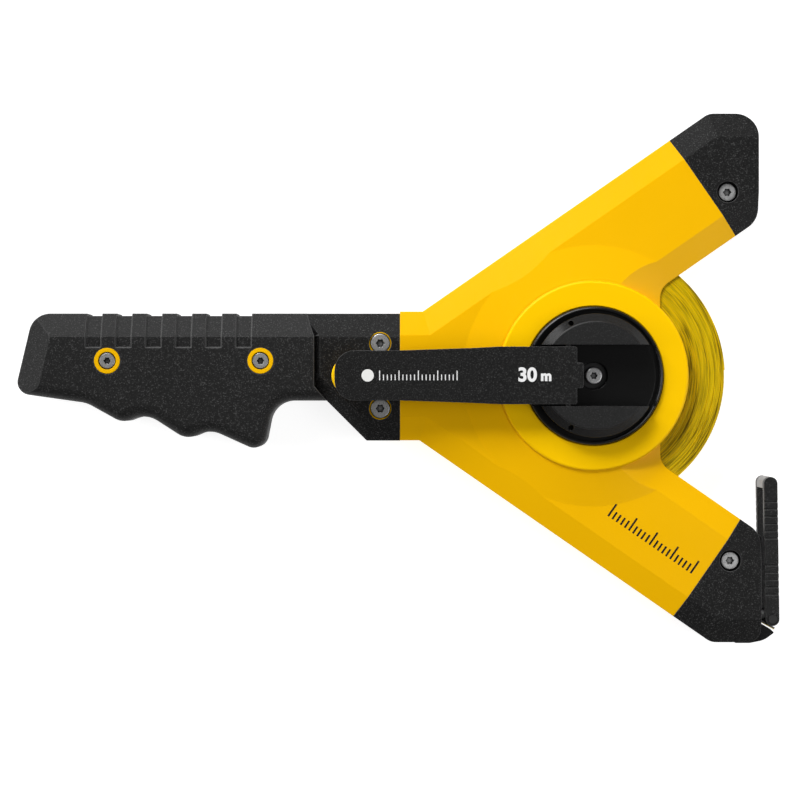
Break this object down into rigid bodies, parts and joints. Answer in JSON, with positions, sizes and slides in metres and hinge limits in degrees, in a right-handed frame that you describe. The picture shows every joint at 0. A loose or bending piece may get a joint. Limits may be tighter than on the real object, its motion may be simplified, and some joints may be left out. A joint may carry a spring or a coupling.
{
  "type": "surveyor tape reel",
  "caption": "Open-reel long measuring tape: Y-shaped yellow frame with a black hand grip, a side-mounted spool with a folding crank, and a folding hook at the tape's end.",
  "frame": {"origin": "on the spool's axis, in the plane of the plain rear disc that the reel lies on", "axes": "+X along the grip towards the arms and the tape's mouth, +Y across towards the upper arm, +Z along the spool's axis towards the crank"},
  "size_m": [0.3509, 0.2443, 0.0386],
  "materials": {
    "yellow_shell": "glossy moulded yellow",
    "yellow_knob": "glossy moulded yellow",
    "black_shell": "fine grained black",
    "grip_rubber": "fine grained soft black",
    "black_moulding": "satin black",
    "screw_steel": "plated",
    "black_steel": "black oxide",
    "plate_steel": "rolled",
    "brass": "machined",
    "bearing_white": "satin",
    "tape_blade": "yellow lacquered blade",
    "felt": "felt"
  },
  "bodies": {
    "frame": {"front_frame_shell": "yellow_shell", "rear_frame_shell": "yellow_shell", "front_grip_shell": "grip_rubber", "rear_grip_shell": "grip_rubber", "front_collar": "black_shell", "rear_collar": "black_shell", "front_upper_cap": "black_shell", "rear_upper_cap": "black_shell", "front_lower_cap": "black_shell", "rear_lower_cap": "black_shell", "mouth_insert": "black_moulding", "mouth_lip": "black_moulding", "handle_screws": "screw_steel", "handle_inserts": "brass", "collar_screws": "screw_steel", "collar_inserts": "brass", "cap_screws": "screw_steel", "cap_inserts": "brass", "rear_bush": "bearing_white", "front_bush": "bearing_white", "rear_thrust_washer": "bearing_white", "front_thrust_washer": "bearing_white", "roller_pins": "screw_steel", "wiper_pads": "felt"},
    "spool": {"spool_hub": "black_moulding", "spool_insert": "brass", "rear_flange": "black_moulding", "front_flange": "black_moulding", "tape_roll": "tape_blade", "crank_rotor": "black_moulding", "centre_washer": "screw_steel", "centre_screw": "screw_steel", "crank_hinge_pin": "black_steel"},
    "crank": {"crank_arm": "black_moulding", "marker_plug": "bearing_white", "knob_axle": "screw_steel"},
    "knob": {"crank_knob": "yellow_knob"},
    "tape_end": {"tape_lead": "tape_blade", "tape_end_plate": "plate_steel", "end_rivets": "screw_steel", "hook_pin": "black_steel"},
    "hook": {"hook_bars": "black_moulding", "hook_bridge": "plate_steel"},
    "upper_roller": {"upper_guide_roller": "bearing_white"},
    "lower_roller": {"lower_guide_roller": "bearing_white"}
  },
  "joints": [
    {"name": "spool_turn", "type": "hinge", "parent": "frame", "child": "spool", "pos_m": [0, 0, 0.0125], "axis": [0, 0, 1], "continuous": true},
    {"name": "crank_fold", "type": "hinge", "parent": "spool", "child": "crank", "pos_m": [-0.0125, 0, 0.0361], "axis": [0, 1, 0], "range_deg": [0, 180]},
    {"name": "knob_spin", "type": "hinge", "parent": "crank", "child": "knob", "pos_m": [-0.111, 0, 0.0276], "axis": [0, 0, 1], "continuous": true},
    {"name": "tape_pull", "type": "slide", "parent": "frame", "child": "tape_end", "axis": [0.8763, -0.4818, 0], "range_m": [0, 0.09]},
    {"name": "hook_fold", "type": "hinge", "parent": "tape_end", "child": "hook", "pos_m": [0.08273, -0.11189, 0.0125], "axis": [0, 0, 1], "range_deg": [-118.8, 0]},
    {"name": "upper_roller_turn", "type": "hinge", "parent": "frame", "child": "upper_roller", "pos_m": [0.06558, -0.10178, 0.0125], "axis": [0, 0, 1], "continuous": true},
    {"name": "lower_roller_turn", "type": "hinge", "parent": "frame", "child": "lower_roller", "pos_m": [0.06134, -0.10949, 0.0125], "axis": [0, 0, 1], "continuous": true}
  ]
}
